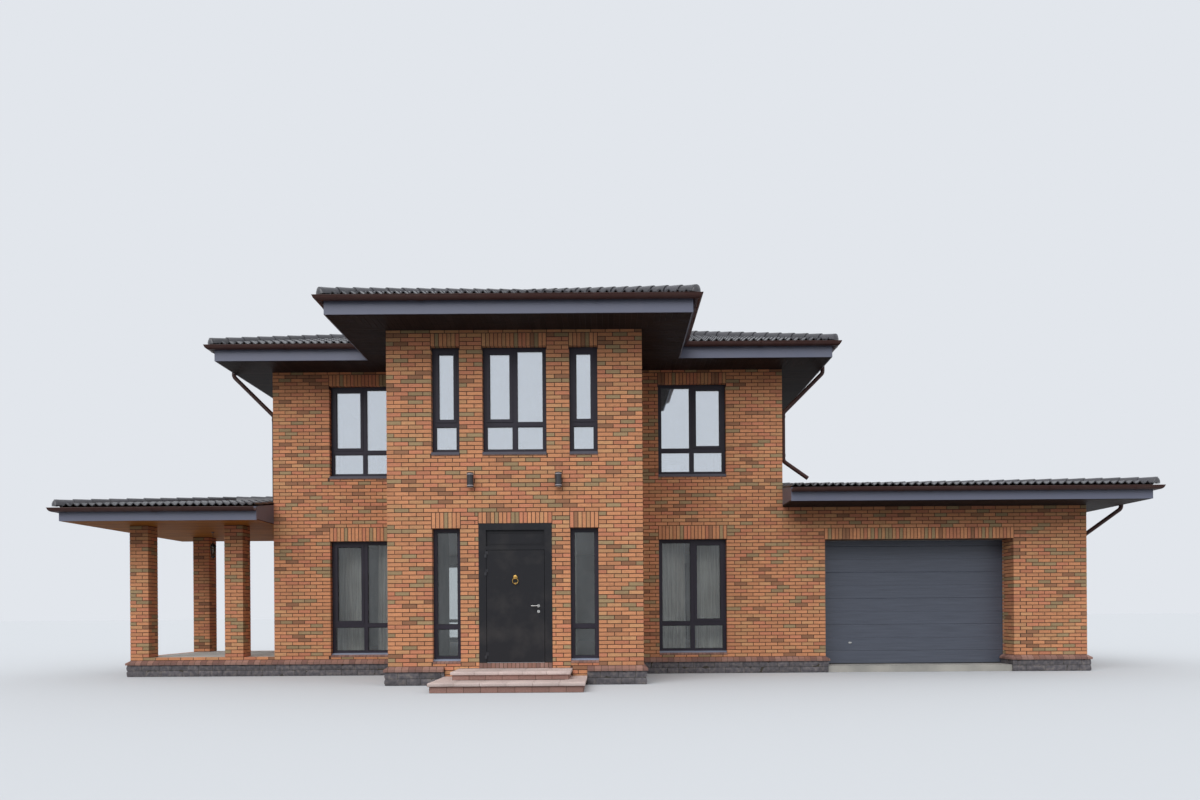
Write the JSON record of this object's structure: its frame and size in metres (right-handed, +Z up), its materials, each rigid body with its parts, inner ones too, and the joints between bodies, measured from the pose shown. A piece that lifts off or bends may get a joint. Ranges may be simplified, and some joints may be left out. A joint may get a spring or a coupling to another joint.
{
  "type": "detached house",
  "caption": "Brick detached house with a projecting entrance bay, hipped tile roofs, an attached garage, a side porch on brick pillars and an opening front door.",
  "frame": {"origin": "at ground level under the centre of the main block, on the underside of the ground floor slab", "axes": "+X to the right seen from the front, along the longest side; +Y to the rear; +Z up"},
  "size_m": [22.2606, 14.8603, 8.8721],
  "materials": {
    "facing_brick": "rough fired facing brick in mixed tans and reds with dark joints",
    "clinker_course": "dense smooth clinker brick",
    "split_stone": "split dark grey stone",
    "step_stone": "reddish cut stone",
    "tread_stone": "pale pinkish stone slab",
    "paving": "pale paving slab",
    "concrete": "cast concrete and screed",
    "window_frame": "satin anthracite foil",
    "window_glass": "clear double glazing",
    "door_paint": "fine textured anthracite coat",
    "hinge_steel": "anthracite coat",
    "handle_metal": "satin",
    "knocker_brass": "polished and slightly aged",
    "garage_door_paint": "wood-grain embossed blue grey coat",
    "roof_tile": "semi gloss coated concrete tile",
    "roof_timber": "sawn softwood",
    "fascia_paint": "satin blue grey coated sheet",
    "gutter_paint": "satin chocolate brown coat",
    "soffit_board": "dark grooved boards",
    "ceiling_board": "honey coloured varnished boards",
    "lamp_paint": "matt charcoal coat"
  },
  "bodies": {
    "root": {"bay_ground_walls": "facing_brick", "bay_roof_tiles": "roof_tile", "bay_side_walls": "facing_brick", "bay_upper_wall": "facing_brick", "door_frame": "door_paint", "door_hinge_posts": "hinge_steel", "door_threshold": "clinker_course", "door_transom_panel": "door_paint", "downpipes": "gutter_paint", "fascias": "fascia_paint", "front_window_frames": "window_frame", "garage_door": "garage_door_paint", "garage_door_frame": "garage_door_paint", "garage_door_handle": "handle_metal", "garage_floor": "concrete", "garage_lintel_wall": "facing_brick", "garage_piers": "facing_brick", "garage_rear_wall": "facing_brick", "garage_roof_deck": "roof_timber", "garage_roof_tiles": "roof_tile", "garage_side_wall": "facing_brick", "ground_floor": "concrete", "gutters": "gutter_paint", "lower_window_glass": "window_glass", "main_roof_deck": "roof_timber", "main_roof_tiles": "roof_tile", "porch_base": "facing_brick", "porch_beams": "roof_timber", "porch_ceiling": "ceiling_board", "porch_floor": "paving", "porch_lantern": "lamp_paint", "porch_pillars": "facing_brick", "porch_roof_deck": "roof_timber", "porch_roof_tiles": "roof_tile", "rear_wall": "facing_brick", "rear_window_frames": "window_frame", "ridge_caps": "roof_tile", "side_walls": "facing_brick", "side_window_frames": "window_frame", "sill_course": "clinker_course", "soffits": "soffit_board", "step_risers": "step_stone", "step_treads": "tread_stone", "stone_plinth": "split_stone", "upper_ceiling": "concrete", "upper_floor": "concrete", "upper_window_glass": "window_glass", "wall_lamps": "lamp_paint", "window_sashes": "window_frame", "window_sills": "window_frame", "wing_walls": "facing_brick"},
    "front_door": {"door_leaf": "door_paint", "door_leaf_hinges": "hinge_steel", "door_roses": "handle_metal", "knocker_boss": "knocker_brass"},
    "door_handle": {"door_lever": "handle_metal"},
    "knocker": {"knocker_ring": "knocker_brass"}
  },
  "joints": [
    {"name": "front_door_hinge", "type": "hinge", "parent": "root", "child": "front_door", "pos_m": [-0.523, -7.504, 0.4], "axis": [0, 0, -1], "range_deg": [0, 100]},
    {"name": "door_handle_turn", "type": "hinge", "parent": "front_door", "child": "door_handle", "pos_m": [0.414, -7.49, 1.42], "axis": [0, -1, 0], "range_deg": [0, 40], "stiffness_Nm_per_rad": 3, "springref_deg": -20.05},
    {"name": "knocker_swing", "type": "hinge", "parent": "front_door", "child": "knocker", "pos_m": [0, -7.516, 1.94], "axis": [-1, 0, 0], "range_deg": [0, 80]}
  ]
}
